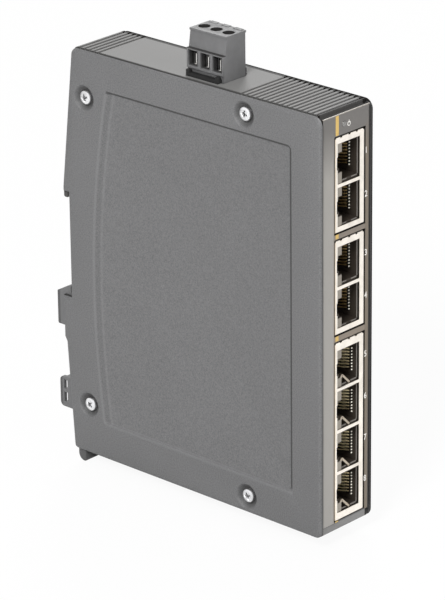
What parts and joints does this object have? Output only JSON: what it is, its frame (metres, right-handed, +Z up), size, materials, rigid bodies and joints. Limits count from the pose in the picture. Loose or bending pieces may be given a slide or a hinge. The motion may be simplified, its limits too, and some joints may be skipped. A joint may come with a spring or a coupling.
{
  "type": "rail-mounted network switch",
  "caption": "Slim network switch for a mounting rail: ribbed case with side covers, shielded sockets down the front, plug-in screw terminal on top and a sprung rail latch behind.",
  "frame": {"origin": "centre of the flat face that rests on the mounting rail: middle of the width, height of the rail's centre line", "axes": "+X to the right as seen from the front (along the rail), +Y to the rear (into the rail), +Z up"},
  "size_m": [0.0244, 0.1141, 0.157],
  "materials": {
    "cover_plastic": "fine matt grain",
    "ring_plastic": "matt",
    "label_foil": "printed foil",
    "tin_plate": "bright tin plate",
    "socket_plastic": "satin",
    "gold_plate": "gold flash",
    "bright_screw": "zinc plated",
    "board_laminate": "solder resist",
    "chip_resin": "moulded resin",
    "can_metal": "drawn can",
    "fuse_body": "moulded",
    "clear_plastic": "clear",
    "terminal_plastic": "satin",
    "plated_brass": "tin plated",
    "clamp_steel": "zinc plated",
    "latch_plastic": "satin",
    "spring_steel": "bright wire"
  },
  "bodies": {
    "case": {"left_cover": "cover_plastic", "right_cover": "cover_plastic", "case_ring": "ring_plastic", "front_label": "label_foil", "jack_shield_1": "tin_plate", "jack_shield_2": "tin_plate", "jack_shield_3": "tin_plate", "jack_body_1": "socket_plastic", "jack_body_2": "socket_plastic", "jack_body_3": "socket_plastic", "jack_contacts_1": "gold_plate", "jack_contacts_2": "gold_plate", "jack_contacts_3": "gold_plate", "left_cover_screws": "bright_screw", "right_cover_screws": "bright_screw", "board_screws": "bright_screw", "circuit_board": "board_laminate", "switch_chip": "chip_resin", "magnetics_1": "chip_resin", "magnetics_2": "chip_resin", "magnetics_3": "chip_resin", "magnetics_4": "chip_resin", "regulator": "chip_resin", "inductor": "chip_resin", "crystal": "can_metal", "capacitor_1": "can_metal", "capacitor_2": "can_metal", "fuse": "fuse_body", "power_led": "clear_plastic", "light_pipe": "clear_plastic", "terminal_header": "terminal_plastic", "header_pins": "plated_brass", "latch_spring": "spring_steel"},
    "rail_latch": {"din_latch": "latch_plastic"},
    "supply_plug": {"plug_housing": "terminal_plastic", "plug_contacts": "plated_brass"},
    "screw_1": {"clamp_screw_1": "clamp_steel"},
    "cage_1": {"clamp_cage_1": "clamp_steel"},
    "screw_2": {"clamp_screw_2": "clamp_steel"},
    "cage_2": {"clamp_cage_2": "clamp_steel"},
    "screw_3": {"clamp_screw_3": "clamp_steel"},
    "cage_3": {"clamp_cage_3": "clamp_steel"}
  },
  "joints": [
    {"name": "latch_slide", "type": "slide", "parent": "case", "child": "rail_latch", "axis": [0, 0, -1], "range_m": [0, 0.0045], "stiffness_N_per_m": 800, "springref_m": -0.004, "deforming": ["latch_spring"]},
    {"name": "plug_lift", "type": "slide", "parent": "case", "child": "supply_plug", "axis": [0, 0, 1], "range_m": [0, 0.014]},
    {"name": "screw_turn_1", "type": "hinge", "parent": "supply_plug", "child": "screw_1", "pos_m": [-0.002, -0.0609, 0.078], "axis": [0, 0, -1], "range_deg": [0, 1080]},
    {"name": "cage_lift_1", "type": "slide", "parent": "supply_plug", "child": "cage_1", "axis": [0, 0, 1], "range_m": [0, 0.0015]},
    {"name": "screw_turn_2", "type": "hinge", "parent": "supply_plug", "child": "screw_2", "pos_m": [-0.002, -0.0559, 0.078], "axis": [0, 0, -1], "range_deg": [0, 1080]},
    {"name": "cage_lift_2", "type": "slide", "parent": "supply_plug", "child": "cage_2", "axis": [0, 0, 1], "range_m": [0, 0.0015]},
    {"name": "screw_turn_3", "type": "hinge", "parent": "supply_plug", "child": "screw_3", "pos_m": [-0.002, -0.0509, 0.078], "axis": [0, 0, -1], "range_deg": [0, 1080]},
    {"name": "cage_lift_3", "type": "slide", "parent": "supply_plug", "child": "cage_3", "axis": [0, 0, 1], "range_m": [0, 0.0015]}
  ],
  "couplings": [
    {"joint": "screw_turn_1", "follows": "cage_lift_1", "rad_per_m": 12566},
    {"joint": "screw_turn_2", "follows": "cage_lift_2", "rad_per_m": 12566},
    {"joint": "screw_turn_3", "follows": "cage_lift_3", "rad_per_m": 12566}
  ]
}
